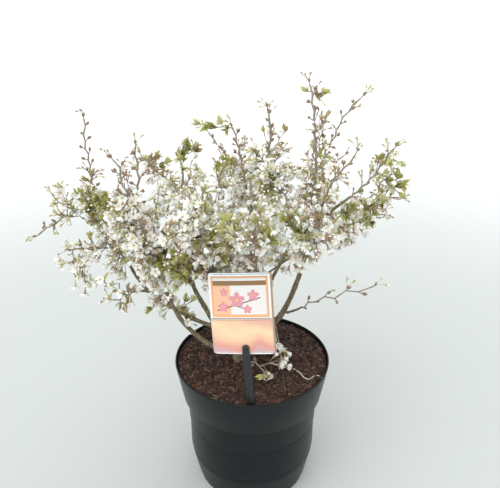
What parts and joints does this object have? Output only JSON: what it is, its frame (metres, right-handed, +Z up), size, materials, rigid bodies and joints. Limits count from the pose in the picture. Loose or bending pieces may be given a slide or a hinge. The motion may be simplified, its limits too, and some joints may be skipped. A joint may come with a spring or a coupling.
{
  "type": "potted kojo-no-mai fuji cherry",
  "caption": "Bushy dwarf fuji cherry in early blossom, with zigzag twigs, white flowers and young leaves, in a round black nursery pot with a folded label on a holder.",
  "frame": {"origin": "middle of the pot's flat underside", "axes": "+Z up along the pot's axis, +X to the right and -Y towards the viewer in the picture, where the label faces -Y"},
  "size_m": [0.5533, 0.4102, 0.5969],
  "materials": {
    "pot_black": "black injection-moulded plastic, satin",
    "soil_brown": "bark and peat potting soil, matte",
    "bark": "grey-brown bark with pale pores",
    "blossom_and_leaf": "white blossoms and young yellow-green leaves on brown twigs",
    "label_card": "printed plastic card in white and peach",
    "holder_black": "black moulded plastic"
  },
  "bodies": {
    "root": {"pot": "pot_black", "soil": "soil_brown", "trunk": "bark", "bough_left_low": "bark", "bough_left_fore": "bark", "bough_left_up": "bark", "bough_left_arm": "bark", "bough_left_outer": "bark", "bough_left_rise": "bark", "bough_left_droop": "bark", "bough_inner": "bark", "bough_right": "bark", "bough_right_low": "bark", "bough_right_outer": "bark", "bough_right_rise": "bark", "bough_right_fore": "bark", "bough_right_twig": "bark", "bough_centre": "bark", "bough_centre_rise": "bark", "bough_back_high": "bark", "bough_front_left": "bark", "bough_front": "bark", "bough_front_right": "bark", "bough_back": "bark", "bough_back_left": "bark", "bough_back_left_low": "bark", "bough_back_right": "bark", "bough_back_right_low": "bark", "mass_left_tall": "blossom_and_leaf", "mass_left_fore": "blossom_and_leaf", "mass_far_left": "blossom_and_leaf", "mass_left_high": "blossom_and_leaf", "mass_left_low": "blossom_and_leaf", "mass_left_droop": "blossom_and_leaf", "mass_inner_left": "blossom_and_leaf", "mass_inner": "blossom_and_leaf", "mass_top": "blossom_and_leaf", "mass_right_low": "blossom_and_leaf", "mass_right": "blossom_and_leaf", "mass_upper_right": "blossom_and_leaf", "mass_mid_right": "blossom_and_leaf", "mass_low_right": "blossom_and_leaf", "mass_centre": "blossom_and_leaf", "mass_centre_left": "blossom_and_leaf", "mass_back_high": "blossom_and_leaf", "mass_front_left": "blossom_and_leaf", "mass_front": "blossom_and_leaf", "mass_front_right": "blossom_and_leaf", "mass_back_left": "blossom_and_leaf", "mass_back_left_low": "blossom_and_leaf", "mass_back": "blossom_and_leaf", "mass_back_right": "blossom_and_leaf", "mass_back_right_low": "blossom_and_leaf", "mass_low_front": "blossom_and_leaf", "label_card": "label_card", "label_holder": "holder_black"}
  },
  "joints": []
}
